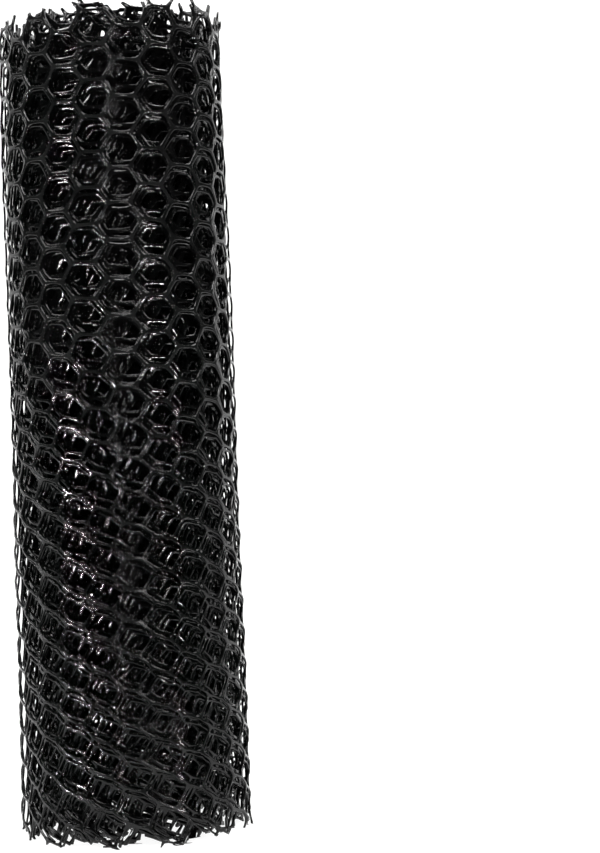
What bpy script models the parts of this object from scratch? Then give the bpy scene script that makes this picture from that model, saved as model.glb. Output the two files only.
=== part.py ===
"""Roll of black plastic hexagon netting, wound around an empty middle, standing on its cut end.

The netting is one strip. It is laid out flat first: along X the way it is wound, up Y the
way the roll is tall. The stretch that makes the outer turn is an open net of strands, and
the stretch behind it, wound close, is a plain band. The flat strip is then given its
thickness and rolled up on a spiral. Metres, +Z up, the middle of the base at the origin.
"""

import math
import random

import bmesh
import bpy
from mathutils import Vector

# The roll
HEIGHT = 0.400
OUTER_RADIUS = 0.0571  # at the strip's outer end, half way up
CORE_RADIUS = 0.0225  # of the empty middle, half way up
TAPER = 0.042  # the base is wider than the top by this share
START_ANGLE = math.radians(118)  # where the strip's outer end lies

# The turns: each stands for two or three of the real netting's
TURN_PITCH = 0.005
TURN_GAP = 0.001  # between the close-wound turns
STEPS_PER_TURN = 36
NET_RADIUS = 0.0555  # the strip is laid out flat as it is on this radius

# The net of the outer turn, at one and a half times the real cell
ROWS = 16
COLUMNS = 16
NET_THICKNESS = 0.002
STRAND_WIDTH = 0.0027
STUB_RISE = 0.004  # from a cut edge to the nearest bars
CELL_HEIGHT = (HEIGHT - 2 * STUB_RISE) / ROWS
CELL_SIDE = CELL_HEIGHT / math.sqrt(3)
COLUMN_PITCH = 1.5 * CELL_SIDE
STUB_SLOPE = math.radians(60)

# Ragged upper edge, as left by shears
SHORTEST_STUB = 0.0012
DEEPEST_NICK = 0.0035
SHEARS_SEED = 11

NET_LENGTH = COLUMNS * COLUMN_PITCH
STEP_LENGTH = NET_RADIUS * math.tau / STEPS_PER_TURN
BAND_THICKNESS = TURN_PITCH - TURN_GAP


def net_joints(shears):
    """The joints of the net by name, the strands between them, and how each loose end is cut.

    Bar j of column k runs from joint (k, j, -1) to joint (k, j, 1). Odd columns lie half a
    cell higher. The first column is cut through its bars, and so is the last, where the band
    takes over. The lowest and highest bars keep a stub of each diagonal that was cut.
    """
    places, strands, cuts = {}, [], {}
    for k in range(COLUMNS + 1):
        shift = k % 2
        for j in range(ROWS + 1 - shift):
            level = STUB_RISE + (j + shift / 2) * CELL_HEIGHT
            for side in (-1, 1):
                cut_here = (k == 0 and side < 0) or (k == COLUMNS and side > 0)
                reach = 0 if cut_here else side * CELL_SIDE / 2
                places[k, j, side] = Vector((k * COLUMN_PITCH + reach, level))
                if cut_here:
                    cuts[k, j, side] = Vector((0, 1))
            strands.append(((k, j, -1), (k, j, 1)))
            rows_beside = (j, j + 1) if shift else (j - 1, j)
            for beside in rows_beside:
                if k < COLUMNS and 0 <= beside <= ROWS - 1 + shift:
                    strands.append(((k, j, 1), (k + 1, beside, -1)))
    for k in range(0, COLUMNS + 1, 2):
        for j, up in ((0, -1), (ROWS, 1)):
            for side in (-1, 1):
                if (k, j, side) in cuts:
                    continue
                rise = STUB_RISE if up < 0 else shears.uniform(SHORTEST_STUB, STUB_RISE)
                stub = Vector((side * rise / math.tan(STUB_SLOPE), up * rise))
                places[k, j, 2 * side] = places[k, j, side] + stub
                cuts[k, j, 2 * side] = Vector((1, 0))
                strands.append(((k, j, side), (k, j, 2 * side)))
    return places, strands, cuts


def joint_corners(bm, place, around, cut):
    """Mesh corners of one joint, anticlockwise. Corner i lies between strands i and i + 1."""
    if cut:
        towards = (around[0] - place).normalized()
        across = towards.x * cut.y - towards.y * cut.x
        reach = cut * (STRAND_WIDTH / 2 / across)
        points = [place + reach, place - reach]
    else:
        angles = [math.atan2(*(other - place).yx) for other in around]
        points = []
        for i, angle in enumerate(angles):
            half = ((angles[(i + 1) % len(angles)] - angle) % math.tau) / 2
            middle = Vector((math.cos(angle + half), math.sin(angle + half)))
            points.append(place + middle * (STRAND_WIDTH / 2 / math.sin(half)))
    return [bm.verts.new((*point, 0)) for point in points]


def lay_net(bm, shears):
    """The open net in the flat. Returns the corners along its last cut, from the top down."""
    places, strands, cuts = net_joints(shears)
    around = {name: [] for name in places}
    for a, b in strands:
        around[a].append(b)
        around[b].append(a)
    corners = {}
    for name, place in places.items():
        around[name].sort(key=lambda other: math.atan2(*(places[other] - place).yx))
        neighbours = [places[other] for other in around[name]]
        corners[name] = joint_corners(bm, place, neighbours, cuts.get(name))
        if len(neighbours) > 2:
            bm.faces.new(corners[name])

    def sides(a, b):
        """The left and right corner at joint a of the strand that leaves it for b."""
        i = around[a].index(b)
        return corners[a][i], corners[a][i - 1]

    for a, b in strands:
        left_a, right_a = sides(a, b)
        left_b, right_b = sides(b, a)
        bm.faces.new((right_a, left_b, right_b, left_a))
    last = []
    for j in reversed(range(ROWS + 1)):
        below, above = sides((COLUMNS, j, 1), (COLUMNS, j, -1))
        last += [above, below]
    return last


def lay_band(bm, root, shears):
    """The close-wound band, a row of upright panels that goes on from the net's last cut."""
    band_end_radius = CORE_RADIUS + BAND_THICKNESS
    turns = (OUTER_RADIUS - band_end_radius) / TURN_PITCH - NET_LENGTH / NET_RADIUS / math.tau
    lines = []
    for i in range(round(turns * STEPS_PER_TURN) + 1):
        along = NET_LENGTH + i * STEP_LENGTH
        top = HEIGHT - (shears.uniform(0, DEEPEST_NICK) if i else 0)
        lines.append((bm.verts.new((along, 0, 0)), bm.verts.new((along, top, 0))))
    for i, ((low_a, high_a), (low_b, high_b)) in enumerate(zip(lines, lines[1:])):
        bm.faces.new((low_a, low_b, high_b, high_a, *(root if i == 0 else ())))


def thickness(along):
    """The net's thickness, which grows to the band's in the band's first panel."""
    share = min(max((along - NET_LENGTH) / STEP_LENGTH, 0), 1)
    return NET_THICKNESS + share * (BAND_THICKNESS - NET_THICKNESS)


def roll_up(bm):
    """Winds the thickened strip on an Archimedean spiral, inwards from its outer end."""
    for vert in bm.verts:
        along, up, outer = vert.co
        turn = along / NET_RADIUS / math.tau
        radius = OUTER_RADIUS - TURN_PITCH * turn - (1 - outer) * thickness(along)
        radius *= 1 + TAPER * (0.5 - up / HEIGHT)
        angle = START_ANGLE + math.tau * turn
        vert.co = (radius * math.cos(angle), radius * math.sin(angle), up)


def centre_on_base(bm):
    """Moves the roll so that its outline's middle is over the origin."""
    for axis in (0, 1):
        values = [vert.co[axis] for vert in bm.verts]
        middle = (min(values) + max(values)) / 2
        for vert in bm.verts:
            vert.co[axis] -= middle


def black_plastic():
    """Extruded polyethylene: near black, half matt."""
    material = bpy.data.materials.new("black_plastic")
    material.use_nodes = True
    shader = material.node_tree.nodes["Principled BSDF"]
    shader.inputs["Base Color"].default_value = (0.012, 0.012, 0.013, 1)
    shader.inputs["Roughness"].default_value = 0.38
    shader.inputs["Metallic"].default_value = 0
    return material


def net_roll():
    """The whole netting as one closed solid."""
    shears = random.Random(SHEARS_SEED)
    bm = bmesh.new()
    root = lay_net(bm, shears)
    lay_band(bm, root, shears)
    bmesh.ops.triangulate(bm, faces=bm.faces[:])
    grown = bmesh.ops.extrude_face_region(bm, geom=bm.faces[:])["geom"]
    for item in grown:
        if isinstance(item, bmesh.types.BMVert):
            item.co.z = 1
    roll_up(bm)
    centre_on_base(bm)
    bmesh.ops.triangulate(bm, faces=bm.faces[:])
    bmesh.ops.recalc_face_normals(bm, faces=bm.faces[:])
    mesh = bpy.data.meshes.new("net_roll")
    bm.to_mesh(mesh)
    bm.free()
    mesh.materials.append(black_plastic())
    roll = bpy.data.objects.new("net_roll", mesh)
    bpy.context.collection.objects.link(roll)
    return roll


for old in list(bpy.data.objects):
    bpy.data.objects.remove(old)
net_roll()
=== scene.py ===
"""Looks of the roll of black hexagonal netting: the real net, turn by turn, in a white studio.

The net is worked out flat, as opening after opening with half of each strand round it, and then
wound on a spiral. Along the strip is u, up the roll is v, and out of the sheet is w, in metres.
"""

import math

import bpy
import numpy as np
from mathutils import Matrix, Vector


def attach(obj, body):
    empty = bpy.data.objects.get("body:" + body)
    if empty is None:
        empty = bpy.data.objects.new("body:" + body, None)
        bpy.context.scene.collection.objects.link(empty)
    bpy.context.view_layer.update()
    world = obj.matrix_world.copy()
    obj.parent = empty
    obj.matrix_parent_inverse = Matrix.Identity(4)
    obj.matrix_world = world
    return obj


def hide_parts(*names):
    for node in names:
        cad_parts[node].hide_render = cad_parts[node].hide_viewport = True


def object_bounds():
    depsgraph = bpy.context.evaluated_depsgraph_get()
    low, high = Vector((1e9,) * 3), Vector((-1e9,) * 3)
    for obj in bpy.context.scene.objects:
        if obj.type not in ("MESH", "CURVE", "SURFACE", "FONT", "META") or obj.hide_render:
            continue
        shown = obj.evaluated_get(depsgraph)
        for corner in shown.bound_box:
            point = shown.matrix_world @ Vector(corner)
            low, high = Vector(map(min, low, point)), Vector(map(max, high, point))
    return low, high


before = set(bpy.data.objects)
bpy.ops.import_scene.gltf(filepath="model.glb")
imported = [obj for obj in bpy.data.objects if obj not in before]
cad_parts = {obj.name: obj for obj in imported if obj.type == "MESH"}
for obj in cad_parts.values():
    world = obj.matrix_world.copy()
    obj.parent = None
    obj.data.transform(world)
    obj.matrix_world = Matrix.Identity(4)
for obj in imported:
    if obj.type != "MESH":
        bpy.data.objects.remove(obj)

CAD_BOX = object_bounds()
HEIGHT = CAD_BOX[1].z

# The net's repeat
STRIP_WIDTH = HEIGHT - 0.0005
LOWEST_BAR = 0.0024  # above the lower cut, in the even columns
ROWS = 24
SPARE_ROWS = 2  # worked out past each cut, for what the cuts leave of them
CELL_HEIGHT = (STRIP_WIDTH - 2 * LOWEST_BAR) / ROWS
CELL_SIDE = CELL_HEIGHT / math.sqrt(3)
COLUMN_PITCH = 1.5 * CELL_SIDE
FIRST_CUT = 0.6  # where the outer end is cut, in columns
SIDES_FACE = np.radians(30 + 60 * np.arange(6))  # directions from a cell's middle to its sides
RISING_SIDES = [2, 5]  # the sides whose strands rise to the right

# Strands
HIGH_WIDTH, LOW_WIDTH = 0.0014, 0.00125  # in the upper and the lower half of the roll
RISING_WIDTH = 0.0005  # in the lower half, of those that rise to the right
BEHIND_RISING_WIDTH = 0.00032  # the same in the turns just behind the outer one
WIDTH_SPREAD = (0.88, 1.12)
STRAND_THICKNESS = 0.0013
SECTION_POWER = 0.75  # 1 is an ellipse, lower is flatter
GROOVE_DEPTH, GROOVE_REACH = 0.3, 0.5  # in a strand's middle, as shares of its half section

# Openings
CORNER_POWER = 10.0  # lower is rounder
LOW_CORNERS = 0.3  # so much less round in the lower half
CORNER_SPREAD = (0.8, 1.25)

# Halves of the roll, the outer turn and the rims
HALF_LEVEL, HALF_BLUR = 0.21, 0.02
OUTER_TURN_LENGTH = 0.36
RIM_FADE = 0.03  # from a cut, over which what belongs to the inside sets in

# The cuts
CUT_LEVELS = 400  # different levels, after which they repeat
LOW_STUBS, LOW_STUBS_BEHIND = 0.0022, 0.003  # how much is cut off them at most
HIGH_STUBS, HIGHEST_STUB = 0.0045, 0.002
SIDES_LOWER, BEHIND_LOWER = 0.0012, 0.001  # the upper cut at the roll's sides and behind
HALF_TURN_COLUMNS = 12

# The winding
TURNS = 16
OUTER_PITCH = 0.0007  # from turn to turn; it grows steadily to the inside
END_RADIUS = 0.0549  # at the outer end, half way up
CORE_RADIUS = 0.0225
END_ANGLE = math.radians(118)
TAPER = 0.042
TURN_STEPS = 4000
LENGTH_SHARE = 1.02  # column pitches that one column takes of the spiral

# How the outer turns' cells lie behind each other
FRONT_COLUMN = 11.1  # the one that faces -Y in the outer turn
NESTED_TURNS = 5  # turns behind the outer one whose cells lie behind its own at the front
NESTING_SLIP = 0.06  # of each of them at most, in columns
NESTING_BIAS = 0.2  # towards the next even number of columns, in halves of it
SLIDE, LOW_SLIDE = 0.003, 0.0009  # to the right for a metre of strip; more in the lower half
LOW_DROP, DROP_REACH = 0.0032, 0.04  # down for a metre, in the lower half; from the lower cut
SLIDE_END = 1.6  # metres of strip that slide

# Strands bent into waves, and laid over and under each other; more in the lower half
JOINT_PEAK = 2.6
BEND, LOW_BEND = 0.0003, 0.0009
BEND_UP, BEND_ALONG = 0.87, 0.5  # shares of the bend, for a direction of 60 degrees
OVERLAP, LOW_OVERLAP = 0.0002, 0.0002

# The whole sheet
SWAY, SWAY_TOP = 0.0038, 0.385  # of the columns, which lean by a wave that fades downwards
SWAY_FADE, SWAY_LENGTH = 0.33, 0.23
SAG, SAG_SKEW = 0.0063, 1.2  # of the rows half way up
SAG_FADE = 2.6  # metres of strip
FRAYED, FRAYED_BEHIND = 0.8, 0.5  # shares of the fields along the rims; more behind
FRAY_REACH = 0.011  # from a cut

# The roll's form
HIGH_TURN, HIGH_SPREAD = 0.055, 0.1  # the upper half is turned, and spread at the front, in radians
HIGH_SWELL = 0.0011  # of the upper half to the left
HIGH_DENT = 0.0014  # of its inner turns there
END_FLARE, FLARE_TURNS = 0.0018, 0.42  # of the outer end in the lower half
RISE, RISE_REACH = 0.0021, 0.06  # of the rows to the right; from the lower cut
LIFT_BEHIND = 0.0004
DRIFT, DRIFT_GROWTH = 0.0012, 0.0005  # of turns up and down; more with each turn

# Smooth random fields: seed, pairs of wave lengths along and up, and reach
FRAY_OUT = 9, [(0.035, 0.05)], 0.0012
FRAY_ALONG = 10, [(0.04, 0.05)], 0.0018
FRAY_UP = 11, [(0.05, 0.06)], 0.0014
LOOSE_OUT = 7, [(0.06, 0.5), (0.12, 0.2)], 0.0004
LOOSE_ALONG = 5, [(0.07, 0.1), (0.21, 0.3)], 0.0011
LOOSE_UP = 6, [(0.08, 0.09), (0.26, 0.25)], 0.001
TURN_DRIFT = 8, [(1.7, 1), (3.1, 1)], 1.0  # lengths in turns
SINES_EACH = 3  # for a pair of wave lengths
STRETCH_SPREAD = (0.75, 1.3)

# Vertices on a shared middle line are joined by cells of this size, set off from round numbers
MERGE_CELL, MERGE_OFFSET = 1e-5, 0.37

# The photographed view
FOCAL_PIXELS, PICTURE_HEIGHT, SENSOR = 1992.0, 853, 36.0
EYE = Vector((0.0, -0.999, 0.190))
PAN, PITCH_UP, LEAN = math.radians(5.06), math.radians(0.37), math.radians(-2.05)

# The plastic
DARK, LIGHT = 0.0004, 0.0016  # base colour, before the painted lightness, which paints light and shade
BROAD_CLOUDS, FINE_DETAIL, BROAD_DETAIL = 90, 4, 3
GLOSSIEST, DULLEST = 0.04, 0.11  # roughness
SPECULAR, BUMP_STRENGTH = 0.25, 0.5

# The white around the roll
PAPER, PAPER_ROUGHNESS, PAPER_GLOW = (0.15, 0.15, 0.15, 1), 0.9, 0.93
FLOOR_GAP = 0.0002  # keeps the floor off the roll's lowest strands
DIM_FROM, BRIGHT_FROM = -0.35, 0.45  # y of a direction
DIM, BRIGHT = 0.0015, 0.051


def section(steps):
    """Half of a strand's section, from its front middle round its edge to its back middle.

    The distance across is a power of the sine, and the height a power of the cosine, of an
    angle that runs from 0 to 180 degrees. A bell-shaped groove runs down the middle.
    """
    turned = np.linspace(0, np.pi, steps + 1)
    across = np.sin(turned).clip(0) ** SECTION_POWER
    across[[0, -1]] = 0
    rise = np.sign(np.cos(turned)) * np.abs(np.cos(turned)) ** SECTION_POWER
    rise *= 1 - GROOVE_DEPTH * np.exp(-((across / GROOVE_REACH) ** 2))
    return across, rise * STRAND_THICKNESS / 2


def opening_reach(angle, widths, power):
    """How far an opening reaches from its middle at an angle.

    Each of the six sides lies at half the cell's height less half its strand. The reach is the
    minus-power mean of the distances to the sides, which rounds the corners.
    """
    towards = np.cos(angle[..., None] - SIDES_FACE).clip(0)
    shares = towards / (CELL_HEIGHT / 2 - widths / 2)
    return (shares ** power[..., None]).sum(-1) ** (-1 / power)


def rim_reach(angle):
    """How far the hexagon through the strands' middles reaches at an angle."""
    return CELL_HEIGHT / 2 / np.cos(angle[..., None] - SIDES_FACE).max(-1)


def cell_middles(first, last):
    """Middles of all the cells that may touch columns first to last of the strip."""
    columns = np.arange(first - 1, last + 2)
    rows = np.arange(-SPARE_ROWS, ROWS + SPARE_ROWS)
    column, row = (grid.ravel() for grid in np.meshgrid(columns, rows, indexing="ij"))
    level = LOWEST_BAR + (row + 0.5 + 0.5 * (column % 2)) * CELL_HEIGHT
    return column * COLUMN_PITCH, level


def low_half(v):
    """1 in the lower half of the roll and 0 in the upper, by a logistic step between them."""
    return 1 / (1 + np.exp((v - HALF_LEVEL) / HALF_BLUR))


def behind_outer_turn(u):
    """0 along the outer turn and 1 along those behind it: one less a bell of power four."""
    return 1 - np.exp(-((u / OUTER_TURN_LENGTH) ** 4))


def cut_edges(u):
    """The lower and upper cut at u: each stub between two columns is cut at its own level.

    The lower cut is the square of a random share, and behind the outer turn the share itself is
    added. The upper cut falls by the square of another share, by the square of a sine at the
    roll's sides, and behind the outer turn.
    """
    gap = np.floor(u / COLUMN_PITCH).astype(int) % CUT_LEVELS
    low, high = np.random.default_rng(3).uniform(0, 1, (2, CUT_LEVELS))[:, gap]
    behind = behind_outer_turn(u)
    side = np.sin(np.pi * (u / COLUMN_PITCH - FRONT_COLUMN) / HALF_TURN_COLUMNS) ** 2
    low_cut = LOW_STUBS * low**2 + behind * LOW_STUBS_BEHIND * low
    high_cut = STRIP_WIDTH + HIGHEST_STUB - HIGH_STUBS * high**2
    return low_cut, high_cut - SIDES_LOWER * side - BEHIND_LOWER * behind


def strand_widths(v, widening, rising_width, rng):
    """Widths of the six strands round cells at level v: a row of six for each cell.

    They go from the upper half's width to the lower half's, are widened except near the upper
    cut, and each has its own random share.
    """
    low_widths = np.full(6, LOW_WIDTH)
    low_widths[RISING_SIDES] = rising_width
    widths = HIGH_WIDTH + (low_widths - HIGH_WIDTH) * low_half(v)[:, None, None]
    inside = ((STRIP_WIDTH - v) / RIM_FADE).clip(0, 1)[:, None, None]
    return widths * (1 + (widening - 1) * inside) * rng.uniform(*WIDTH_SPREAD, widths.shape)


def flat_net(first, last, round_steps, section_steps, widening, rising_width, rng):
    """The flat net from the middle of column first to that of last: vertices, quads and caps.

    A cell is a grid of angles round its middle by steps of the half section. Stretches of strand
    past the cut edges are dropped, and both halves of a strand end in half a cap.
    """
    middle_u, middle_v = cell_middles(first, last)
    angle = np.radians(360 / round_steps) * np.arange(round_steps)
    rim = rim_reach(angle)
    rim_u = middle_u[:, None] + rim * np.cos(angle)
    rim_v = middle_v[:, None] + rim * np.sin(angle)

    # Which stretches lie within the cut strip
    stretch_u = (rim_u + np.roll(rim_u, -1, 1)) / 2
    stretch_v = (rim_v + np.roll(rim_v, -1, 1)) / 2
    low, high = cut_edges(stretch_u)
    kept = (stretch_v > low) & (stretch_v < high)
    start = max(first, FIRST_CUT)
    kept &= (stretch_u > start * COLUMN_PITCH) & (stretch_u < last * COLUMN_PITCH)
    some = kept.any(1)
    kept, rim_u, rim_v, middle_v = kept[some], rim_u[some], rim_v[some], middle_v[some]

    # From the strands' middles round their section to the openings
    widths = strand_widths(middle_v, widening, rising_width, rng)
    power = CORNER_POWER * (1 + LOW_CORNERS * low_half(middle_v)[:, None])
    power = power * rng.uniform(*CORNER_SPREAD, power.shape)
    reach = opening_reach(np.broadcast_to(angle, rim_u.shape), widths, power)
    across, rise = section(section_steps)
    inward = (rim - reach)[..., None] * across
    points = np.stack(
        [
            rim_u[..., None] - inward * np.cos(angle)[:, None],
            rim_v[..., None] - inward * np.sin(angle)[:, None],
            np.broadcast_to(rise, inward.shape),
        ],
        -1,
    )

    # The strands' middles are shared by the cells on both sides
    number = np.arange(kept.size * (section_steps + 1)).reshape(*kept.shape, section_steps + 1)
    places = points.reshape(-1, 3)
    shared = number[..., [0, section_steps]].ravel()
    keys = np.floor(places[shared] / MERGE_CELL + MERGE_OFFSET).astype(np.int64)
    _, first_use, which = np.unique(keys, axis=0, return_index=True, return_inverse=True)
    number.ravel()[shared] = shared[first_use][which.ravel()]

    following = np.roll(number, -1, 1)
    quads = np.stack(
        [number[..., :-1], following[..., :-1], following[..., 1:], number[..., 1:]], -1
    )[kept].reshape(-1, 4)
    starts = number[kept & ~np.roll(kept, 1, 1)]
    ends = following[kept & ~np.roll(kept, -1, 1)][:, ::-1]
    caps = np.concatenate([starts, ends])
    used, renumbered = np.unique(np.concatenate([quads.ravel(), caps.ravel()]), return_inverse=True)
    new_quads, new_caps = np.split(renumbered.ravel(), [quads.size])
    return places[used], new_quads.reshape(quads.shape), new_caps.reshape(caps.shape)


def wander(u, v, seed, waves, reach):
    """A smooth random field: a sum of sines of u and v, with waves (length along, length up)."""
    rng = np.random.default_rng(seed)
    total = np.zeros_like(u)
    for along, up in waves:
        for _ in range(SINES_EACH):
            direction = rng.choice([-1, 1])
            phase = rng.uniform(0, math.tau)
            stretch = rng.uniform(*STRETCH_SPREAD)
            total += np.sin(math.tau * (u / along + direction * v / up) * stretch + phase)
    return total * reach / math.sqrt(SINES_EACH * len(waves))


def turn_radius(turn):
    """The spiral's radius at a number of turns from the outer end: a pitch that grows evenly."""
    depth = END_RADIUS - CORE_RADIUS - OUTER_PITCH * TURNS
    return END_RADIUS - OUTER_PITCH * turn - depth * (turn / TURNS) ** 2


def turn_of_column():
    """Turns from the outer end, and the column number at each of them, as two arrays.

    The column number is the spiral's length over the column pitch. The first turns nest, so
    that their numbers at the front differ by an even number and a small rest. In between, the
    strip is eased by smooth steps to meet those numbers.
    """
    turns = np.linspace(0, TURNS, TURN_STEPS)
    step_columns = math.tau * turns[1] / (LENGTH_SHARE * COLUMN_PITCH)
    column = FIRST_CUT + np.cumsum(turn_radius(turns)) * step_columns
    front = (math.radians(270) - END_ANGLE) / math.tau
    nodes = np.arange(int(TURNS - front) + 1) + front
    plain = np.interp(nodes, turns, column)
    steps = np.diff(plain)
    slip = np.random.default_rng(4).uniform(-NESTING_SLIP, NESTING_SLIP, NESTED_TURNS)
    steps[:NESTED_TURNS] = 2 * np.round(steps[:NESTED_TURNS] / 2 + NESTING_BIAS) + slip
    ease = FRONT_COLUMN + np.concatenate([[0], np.cumsum(steps)]) - plain
    share = (turns - front).clip(0, len(nodes) - 1.001)
    lower = share.astype(int)
    blend = share - lower
    blend = blend * blend * (3 - 2 * blend)
    column += ease[lower] * (1 - blend) + ease[lower + 1] * blend
    column += (FIRST_CUT - column[0]) * (1 - (turns / front).clip(0, 1))
    return turns, column


def uneven_sheet(u, v, w):
    """The flat sheet made uneven: where along the strip, how far up and how far out a point lies.

    Strands: three sines that peak at the joints bend them into waves, and a product of two sines
    lays bars and the strands that fall to the right over those that rise. Sheet: the turns slide
    in proportion to the strip's length, the columns sway by a fading cosine, and the rows sag by
    a squared sine. Random fields are added to all, with more of them along the frayed rims.
    """
    low, behind = low_half(v), behind_outer_turn(u)
    across, along = math.tau * u / COLUMN_PITCH, math.tau * (v - LOWEST_BAR) / CELL_HEIGHT
    joint = np.sin(across) + np.sin(along + across / 2) - np.sin(along - across / 2)
    bend = -(BEND + LOW_BEND * low) * joint / JOINT_PEAK
    from_cut = np.minimum(v, STRIP_WIDTH - v)
    frayed = (FRAYED + FRAYED_BEHIND * behind) * np.exp(-from_cut.clip(0) / FRAY_REACH)

    out = w - (OVERLAP + LOW_OVERLAP * low) * np.sin(along) * np.sin(across / 2)
    out += frayed * wander(u, v, *FRAY_OUT)

    slide = np.minimum(u, SLIDE_END)
    below = SWAY_TOP - v
    sway = SWAY * np.exp(-below / SWAY_FADE) * np.cos(math.tau * below / SWAY_LENGTH)
    shifted = u + (SLIDE + LOW_SLIDE * low) * slide + BEND_ALONG * bend + sway
    shifted += frayed * wander(u, v, *FRAY_ALONG) + wander(u, v, *LOOSE_ALONG)

    sag = SAG * np.sin(np.pi * (v / STRIP_WIDTH).clip(0) ** SAG_SKEW) ** 2
    up = v + BEND_UP * bend - sag * np.exp(-u / SAG_FADE)
    up += frayed * wander(u, v, *FRAY_UP)
    up -= LOW_DROP * slide * low * (1 - np.exp(-v.clip(0) / DROP_REACH))
    up += (from_cut / RIM_FADE).clip(0, 1) * wander(u, v, *LOOSE_UP)
    return shifted, up, out


def wound(places):
    """Winds (u, v, w) on the spiral, at the turn that its column has.

    The angle is the turn's, with a turn and a spread by the cosine in the upper half. The radius
    is the spiral's, with a bell for the outer end, a swell and a dent by the cosine, a random
    field, and the taper. The height rises with the cosine, and the turns behind drift up and down.
    """
    u, v, w = places.T
    shifted, up, out = uneven_sheet(u, v, w)
    low, behind = low_half(v), behind_outer_turn(u)
    turns, columns = turn_of_column()
    turn = np.interp(shifted / COLUMN_PITCH, columns, turns)
    angle = END_ANGLE + math.tau * turn
    angle += (1 - low) * (HIGH_TURN + HIGH_SPREAD * np.cos(angle))
    right = np.cos(angle)

    radius = turn_radius(turn) + END_FLARE * low * np.exp(-((turn / FLARE_TURNS) ** 2))
    radius += HIGH_SWELL * (1 - low) * (1 - right)
    radius -= HIGH_DENT * (1 - low) * behind * right.clip(-1, 0) ** 2
    radius += wander(u, v, *LOOSE_OUT)
    radius = radius * (1 + TAPER * (0.5 - v / HEIGHT)) + out

    inside = np.clip(np.minimum(v, STRIP_WIDTH - v) / RIM_FADE, 0, 1)
    drift = wander(turn, np.zeros_like(v), *TURN_DRIFT)
    up += RISE * (1 - np.exp(-v / RISE_REACH)) * right
    up += behind * (LIFT_BEHIND + (DRIFT + DRIFT_GROWTH * inside * turn) * drift)
    return np.stack([radius * right, radius * np.sin(angle), up.clip(0)], -1)


def mesh_of(name, places, *face_sets):
    """A smooth mesh of vertices and any number of face arrays."""
    mesh = bpy.data.meshes.new(name)
    mesh.vertices.add(len(places))
    mesh.vertices.foreach_set("co", places.ravel())
    corners = np.concatenate([faces.ravel() for faces in face_sets])
    sizes = np.concatenate([np.full(len(faces), faces.shape[1]) for faces in face_sets])
    mesh.loops.add(len(corners))
    mesh.loops.foreach_set("vertex_index", corners)
    mesh.polygons.add(len(sizes))
    mesh.polygons.foreach_set("loop_start", np.concatenate([[0], np.cumsum(sizes)[:-1]]))
    mesh.polygons.foreach_set("use_smooth", np.ones(len(sizes), bool))
    mesh.update(calc_edges=True)
    mesh.validate()
    return mesh


def clouds(tree, place, scale, detail):
    """Fractal noise of object coordinates times scale, from 0 to 1."""
    noise = tree.nodes.new("ShaderNodeTexNoise")
    noise.inputs["Scale"].default_value = scale
    noise.inputs["Detail"].default_value = detail
    tree.links.new(place.outputs["Object"], noise.inputs["Vector"])
    return noise.outputs["Fac"]


def black_plastic(name, painted_lightness, unevenness, fineness):
    """Extruded polyethylene: near black, and glossy where it is smooth.

    The colour is a grey that broad noise, between 0.3 and 0.7, leads from DARK to LIGHT, times the
    painted lightness: a copy with a larger one has painted light, and one with a smaller one
    painted shade. The roughness is GLOSSIEST plus fine noise times the rest to DULLEST. The
    surface is raised by the same fine noise times the unevenness, in metres, at half strength.
    """
    material = bpy.data.materials.new(name)
    material.use_nodes = True
    tree = material.node_tree
    nodes, links = tree.nodes, tree.links
    shader = nodes["Principled BSDF"]
    shader.inputs["Specular IOR Level"].default_value = SPECULAR
    place = nodes.new("ShaderNodeTexCoord")
    tint = nodes.new("ShaderNodeValToRGB")
    for end, position, grey in zip(tint.color_ramp.elements, (0.3, 0.7), (DARK, LIGHT)):
        end.position = position
        end.color = (grey * painted_lightness,) * 3 + (1,)
    links.new(clouds(tree, place, BROAD_CLOUDS, BROAD_DETAIL), tint.inputs["Fac"])
    links.new(tint.outputs["Color"], shader.inputs["Base Color"])
    fine = clouds(tree, place, fineness, FINE_DETAIL)
    rough = nodes.new("ShaderNodeMapRange")
    rough.inputs["To Min"].default_value = GLOSSIEST
    rough.inputs["To Max"].default_value = DULLEST
    links.new(fine, rough.inputs["Value"])
    links.new(rough.outputs["Result"], shader.inputs["Roughness"])
    bump = nodes.new("ShaderNodeBump")
    bump.inputs["Strength"].default_value = BUMP_STRENGTH
    bump.inputs["Distance"].default_value = unevenness
    links.new(fine, bump.inputs["Height"])
    links.new(bump.outputs["Normal"], shader.inputs["Normal"])
    return material


def net_turns():
    """The wound net in pieces, finer on the outside: each is a run of whole columns."""
    total = int(turn_of_column()[1][-1])
    runs = (
        # name, last column, steps round a cell and of the half section, widening of the strands,
        # and width in the lower half of those that rise to the right
        ("net_outer_turn", 24, 24, 6, 1.0, RISING_WIDTH),
        ("net_second_turn", 48, 24, 4, 0.9, BEHIND_RISING_WIDTH),
        ("net_third_turns", 113, 12, 5, 1.05, BEHIND_RISING_WIDTH),
        ("net_middle_turns", 180, 12, 4, 2.0, RISING_WIDTH),
        ("net_inner_turns", 238, 12, 4, 2.2, RISING_WIDTH),
        ("net_core_turns", total, 12, 4, 2.2, RISING_WIDTH),
    )
    rng = np.random.default_rng(12)
    # The turns are one plastic: the outer turn's is painted 3.75 times paler, as painted light, and
    # that of the turns behind it darker, as painted shade; their bumps differ as well.
    smooth = black_plastic("black_plastic", 3.0, 0.0001, 900)
    uneven = black_plastic("shaded_plastic", 0.8, 0.00014, 1400)
    first, made = 0, []
    for name, last, *shape in runs:
        places, quads, caps = flat_net(first, last, *shape, rng)
        made.append((name, wound(places), quads, caps))
        first = last
    outer = made[0][1]
    middle = (outer.min(0) + outer.max(0)) / 2 * (1, 1, 0)
    for name, places, quads, caps in made:
        piece = bpy.data.objects.new(name, mesh_of(name, places - middle, quads, caps))
        piece.data.materials.append(smooth if name == "net_outer_turn" else uneven)
        bpy.context.collection.objects.link(piece)
        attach(piece, "root")
        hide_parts("net_roll")


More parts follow.
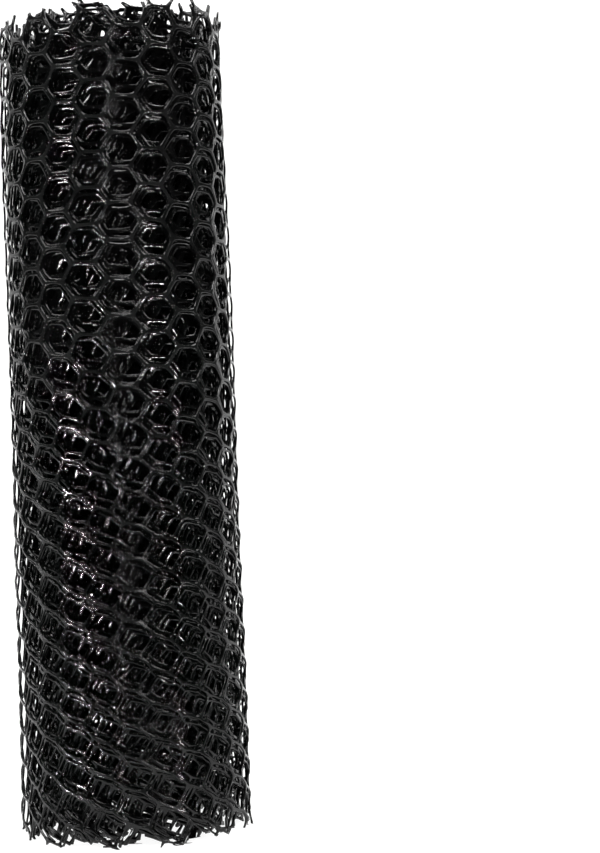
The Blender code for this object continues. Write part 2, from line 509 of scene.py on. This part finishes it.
def camera():
    """The photograph's eye: panned right and tipped up, so that the roll stands at the left."""
    forward = Vector((math.sin(PAN) * math.cos(PITCH_UP), math.cos(PAN) * math.cos(PITCH_UP),
                      math.sin(PITCH_UP)))
    right = forward.cross(Vector((0, 0, 1))).normalized()
    up = right.cross(forward)
    turned = Matrix.Rotation(-LEAN, 3, forward)
    axes = Matrix((turned @ right, turned @ up, -forward)).transposed().to_4x4()
    data = bpy.data.cameras.new("camera")
    data.sensor_width = SENSOR
    data.lens = SENSOR * FOCAL_PIXELS / PICTURE_HEIGHT
    data.clip_start, data.clip_end = 0.01, 30
    eye = bpy.data.objects.new("camera", data)
    eye.matrix_world = Matrix.Translation(EYE) @ axes
    bpy.context.collection.objects.link(eye)
    bpy.context.scene.camera = eye


def white_paper():
    """Matt paper of one grey, with a steady glow that makes it white."""
    paper = bpy.data.materials.new("white_paper")
    paper.use_nodes = True
    shader = paper.node_tree.nodes["Principled BSDF"]
    shader.inputs["Base Color"].default_value = PAPER
    shader.inputs["Roughness"].default_value = PAPER_ROUGHNESS
    shader.inputs["Emission Color"].default_value = (1, 1, 1, 1)
    shader.inputs["Emission Strength"].default_value = PAPER_GLOW
    return paper


def white_floor():
    """A white table that sweeps up behind the roll: floor, quarter round and wall."""
    half_width, front, back, bend, bend_steps, top = 4.0, -0.16, 1.6, 0.5, 16, 4.0
    turned = np.linspace(0, np.pi / 2, bend_steps + 1)
    profile_y = np.concatenate([[front], back + bend * np.sin(turned), [back + bend]])
    profile_z = np.concatenate([[0], bend * (1 - np.cos(turned)), [top]])
    edges = [np.full_like(profile_y, x) for x in (-half_width, half_width)]
    places = np.stack([np.stack([edge, profile_y, profile_z], -1) for edge in edges])
    count = len(profile_y)
    step = np.arange(count - 1)
    faces = np.stack([step, step + count, step + count + 1, step + 1], -1)
    mesh = mesh_of("floor", places.reshape(-1, 3) - (0, 0, FLOOR_GAP), faces)
    mesh.materials.append(white_paper())
    floor = bpy.data.objects.new("floor", mesh)
    bpy.context.collection.objects.link(floor)


def white_surroundings():
    """White to the camera, and else a weak light that comes mostly from behind the roll.

    Its strength is a smooth step of the direction's y, from DIM on the camera's side to BRIGHT
    on the far side, and at least 1 where the camera sees it.
    """
    world = bpy.data.worlds.new("studio")
    world.use_nodes = True
    nodes, links = world.node_tree.nodes, world.node_tree.links
    white = nodes["Background"]
    white.inputs["Color"].default_value = (1, 1, 1, 1)
    facing = nodes.new("ShaderNodeTexCoord")
    parts = nodes.new("ShaderNodeSeparateXYZ")
    links.new(facing.outputs["Generated"], parts.inputs["Vector"])
    fade = nodes.new("ShaderNodeMapRange")
    fade.interpolation_type = "SMOOTHSTEP"
    fade.inputs["From Min"].default_value = DIM_FROM
    fade.inputs["From Max"].default_value = BRIGHT_FROM
    fade.inputs["To Min"].default_value = DIM
    fade.inputs["To Max"].default_value = BRIGHT
    links.new(parts.outputs["Y"], fade.inputs["Value"])
    rays = nodes.new("ShaderNodeLightPath")
    shown = nodes.new("ShaderNodeMath")
    shown.operation = "MAXIMUM"
    links.new(fade.outputs["Result"], shown.inputs[0])
    links.new(rays.outputs["Is Camera Ray"], shown.inputs[1])
    links.new(shown.outputs["Value"], white.inputs["Strength"])
    bpy.context.scene.world = world


def soft_light(name, place, target, width, height, power):
    """A soft box that faces a point."""
    data = bpy.data.lights.new(name, "AREA")
    data.shape, data.size, data.size_y, data.energy = "RECTANGLE", width, height, power
    lamp = bpy.data.objects.new(name, data)
    lamp.location = place
    lamp.rotation_euler = (Vector(target) - Vector(place)).to_track_quat("-Z", "Y").to_euler()
    bpy.context.collection.objects.link(lamp)


def studio_lights():
    """Small lights for short glints, soft boxes all round the front, and one for the wall."""
    lights = (
        # name, place, width, height, power in watts
        ("front_light", (0.3, -2.0, 0.5), 0.06, 0.06, 2),
        ("low_glint", (-0.4, -2.0, -0.12), 0.07, 0.07, 16),
        ("left_glint", (-1.4, -0.75, -0.1), 0.07, 0.07, 24),
        ("right_glint", (1.1, -1.2, -0.1), 0.07, 0.07, 19),
        ("lower_left_glint", (-1.35, -1.4, -0.36), 0.07, 0.07, 34),
        ("top_box", (0.0, -1.5, 2.6), 1.0, 0.8, 100),
        ("left_box", (-2.2, -0.9, 2.1), 0.8, 0.8, 100),
        ("right_box", (2.2, -0.9, 2.2), 0.8, 0.8, 110),
        ("low_left_box", (-2.24, -0.96, -1.12), 0.8, 0.8, 30),
        ("low_right_box", (2.24, -0.96, -1.12), 0.8, 0.8, 24),
    )
    for name, place, width, height, power in lights:
        soft_light(name, place, (0, 0, HEIGHT / 2), width, height, power)
    soft_light("wall_light", (0.0, 0.6, 1.6), (0, 2.0, 0.7), 1.5, 1.5, 60)


camera()
net_turns()
white_floor()
white_surroundings()
studio_lights()
bpy.context.scene.view_settings.view_transform = "Standard"
